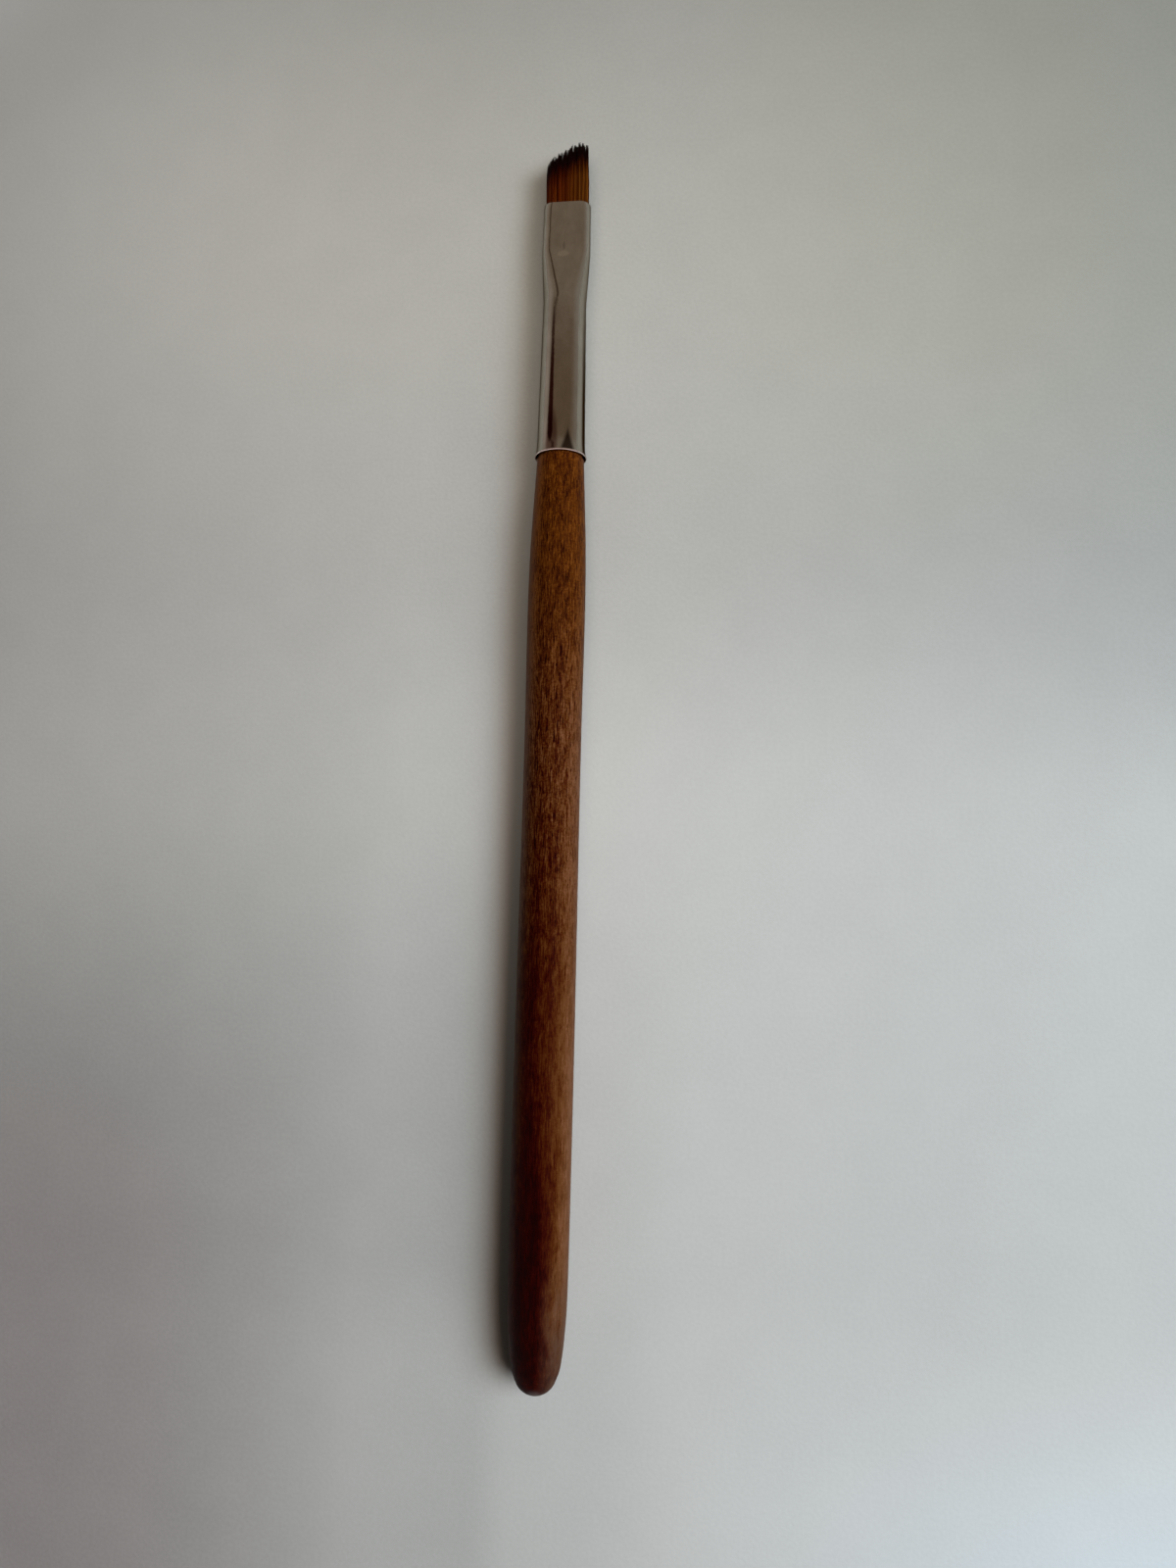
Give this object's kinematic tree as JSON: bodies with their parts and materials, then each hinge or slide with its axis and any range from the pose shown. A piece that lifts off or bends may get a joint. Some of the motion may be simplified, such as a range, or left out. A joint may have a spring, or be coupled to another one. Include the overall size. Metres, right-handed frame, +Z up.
{
  "type": "eyebrow brush",
  "caption": "Slim makeup brush: round bullet-ended wooden handle, metal ferrule pressed flat at its mouth, and a flat tuft of dark-tipped bristles cut on a slant.",
  "frame": {"origin": "on the surface that the brush lies on, under the middle of its bounding box", "axes": "+Y along the brush, from the butt of the handle to the bristles; +Z up, square to the pressed flats of the ferrule"},
  "size_m": [0.0076, 0.165, 0.0076],
  "materials": {
    "wood": "stained orange-brown, semi-gloss lacquer",
    "nickel": "nickel plate, lightly satin",
    "glue": "set amber resin",
    "bristle": "fine brown filament with near-black dyed tips"
  },
  "bodies": {
    "root": {"handle": "wood", "ferrule": "nickel", "glue_plug": "glue", "bristle_tuft": "bristle"}
  },
  "joints": []
}
